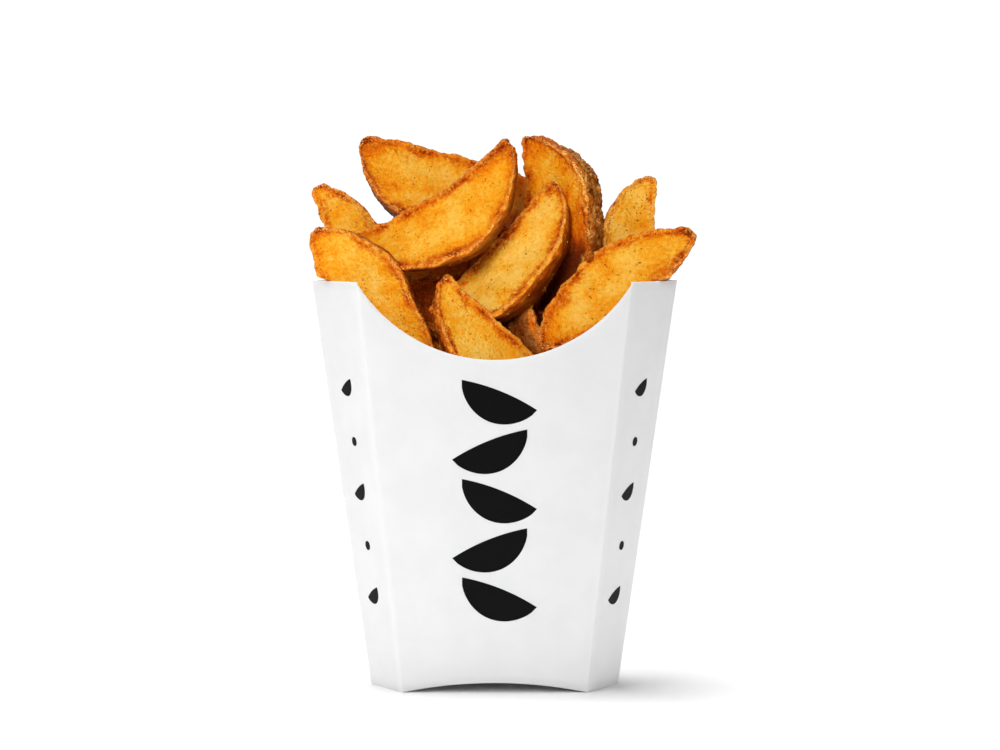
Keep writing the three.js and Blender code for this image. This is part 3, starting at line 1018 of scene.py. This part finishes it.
def icosahedron():
    """Corners of radius 1, and faces that look outwards."""
    golden = (1 + math.sqrt(5)) / 2
    corners = []
    for a in (-1, 1):
        for b in (-golden, golden):
            corners += [(0, a, b), (a, b, 0), (b, 0, a)]
    corners = np.array(corners) / math.hypot(1, golden)
    faces = []
    for i in range(12):
        for j in range(i + 1, 12):
            for k in range(j + 1, 12):
                trio = corners[[i, j, k]]
                sides = np.linalg.norm(trio - np.roll(trio, 1, axis=0), axis=1)
                if sides.max() < NEIGHBOURS:
                    outward = np.cross(trio[1] - trio[0], trio[2] - trio[0]) @ trio.mean(axis=0)
                    faces.append((i, j, k) if outward > 0 else (i, k, j))
    return corners, np.array(faces)


def make_crumbs(shaped, material):
    """Crisp bits of crust that sit on the rims, the ridges and the skin."""
    draw = np.random.default_rng(NOISE_SEED)
    corners, triangles = icosahedron()
    points, faces, tones = [], [], []
    for wedge, (surface, fields) in zip(WEDGES, shaped):
        if not wedge["shows"]:
            continue
        weight = np.clip(fields["edge"], 0, 1) ** 2 + CRUMBS_ON_SKIN * fields["skin"]
        weight += CRUMBS_ANYWHERE
        chosen = draw.choice(len(surface), CRUMBS_PER_WEDGE, p=weight / weight.sum())
        for place in surface[chosen]:
            size = draw.uniform(*CRUMB_SIZE) * draw.uniform(*CRUMB_STRETCH, 3)
            lumpy = corners * draw.uniform(*CRUMB_LUMPS, (len(corners), 1))
            faces.append(triangles + len(points) * len(corners))
            points.append(place + lumpy * size)
            tones.append(np.full(len(corners), draw.uniform(0, 1)))
    fields = {"tone": np.concatenate(tones)}
    points, faces = np.concatenate(points), np.concatenate(faces)
    piece = make_object("crust_crumbs", points, faces, material, True, fields)
    settle_piece(piece, food)


# ---------------- studio
CAMERA_AT = (1.74, -955.6, 155.4)
CAMERA_PITCH = 3.2  # degrees down
FOCAL_PIXELS = 2920.0
IMAGE_WIDTH = 1000.0
SENSOR = 36.0
FLOOR_SIDE = 1200.0
BACKDROP_SEEN = 1.05  # strength of the white world as the camera sees it
BACKDROP_LIGHT = 0.07  # and as it lights the scene


def make_camera():
    camera = bpy.data.cameras.new("camera")
    camera.sensor_width = SENSOR
    camera.lens = SENSOR * FOCAL_PIXELS / IMAGE_WIDTH
    camera.clip_start = 0.01
    holder = bpy.data.objects.new("camera", camera)
    holder.location = Vector(np.array(CAMERA_AT) * MM + ORIGIN)
    holder.rotation_euler = (math.radians(90 - CAMERA_PITCH), 0, 0)
    bpy.context.scene.collection.objects.link(holder)
    bpy.context.scene.camera = holder


def make_light(name, kind, receivers, location, target, energy, **settings):
    """A light that is aimed at a target and falls on one group of pieces."""
    light = bpy.data.lights.new(name, kind)
    light.energy = energy
    for key, value in settings.items():
        setattr(light, key, value)
    holder = bpy.data.objects.new(name, light)
    start = Vector(np.array(location, float) * MM + ORIGIN)
    aim = Vector(np.array(target, float) * MM + ORIGIN)
    holder.location = start
    holder.visible_camera = False
    holder.rotation_euler = (aim - start).to_track_quat("-Z", "Y").to_euler()
    holder.light_linking.receiver_collection = receivers
    bpy.context.scene.collection.objects.link(holder)


def make_sun(name, receivers, location, strength, spread):
    """A wide far light, aimed at the carton's foot; its spread is in degrees."""
    make_light(name, "SUN", receivers, location, (0, 0, 0), strength, angle=math.radians(spread))


def make_softbox(name, receivers, location, target, power, side):
    """A square light; its side is in metres."""
    make_light(name, "AREA", receivers, location, target, power, shape="SQUARE", size=side)


def make_lights():
    make_sun("overhead", shell, (-110, -60, 1200), 2.85, 50)
    make_sun("floor_front", ground, (-260, -60, 1000), 1.25, 46)
    make_sun("floor_back", ground, (-75, 110, 1000), 1.9, 26)
    make_sun("fill", pack, (800, -300, 500), 0.78, 60)
    make_softbox("side", pack, (-240, -250, 170), (0, 0, 100), 0.40, 0.16)
    make_softbox("food_key", food, (-190, -780, 500), (0, 0, 140), 6.5, 0.26)
    make_sun("food_fill", food, (620, -700, 260), 0.35, 40)
    make_sun("behind", shell, (400, 900, 500), 0.7, 60)
    make_sun("food_top", food, (-100, 600, 1000), 1.2, 60)
    make_sun("food_behind", food, (-400, 900, 250), 1.4, 40)


def make_world():
    """A white backdrop to the camera that lights the scene only faintly."""
    scene = bpy.context.scene
    scene.view_settings.view_transform = "Standard"
    scene.view_settings.look = "None"
    world = bpy.data.worlds.new("studio")
    scene.world = world
    world.use_nodes = True
    tree = world.node_tree
    seen = add(tree, "ShaderNodeLightPath").outputs["Is Camera Ray"]
    levels = {"Value": seen, "To Min": BACKDROP_LIGHT, "To Max": BACKDROP_SEEN}
    strength = add(tree, "ShaderNodeMapRange", levels).outputs["Result"]
    plug(tree, tree.nodes["Background"], {"Color": (1, 1, 1, 1), "Strength": strength})


def make_floor():
    bpy.ops.mesh.primitive_plane_add(size=FLOOR_SIDE * MM, location=(0, 0, ORIGIN[2]))
    floor = bpy.context.object
    floor.name = "floor"
    floor.data.materials.append(floor_material())
    ground.objects.link(floor)


# ---------------- assembly
# Groups of pieces that are lit apart: the food, the carton's board, the floor, and
# both of the last two.
food = bpy.data.collections.new("food")
shell = bpy.data.collections.new("shell")
ground = bpy.data.collections.new("ground")
pack = bpy.data.collections.new("pack")
pack.children.link(shell)
pack.children.link(ground)

make_camera()
make_world()
make_lights()
make_floor()
board = board_material()
make_carton(board)
make_carton_bottom(board)
make_print(ink_material())
potato = potato_material()
shaped_wedges = [make_wedge(wedge, order, potato) for order, wedge in enumerate(WEDGES)]
make_core(potato)
make_crumbs(shaped_wedges, crumb_material())
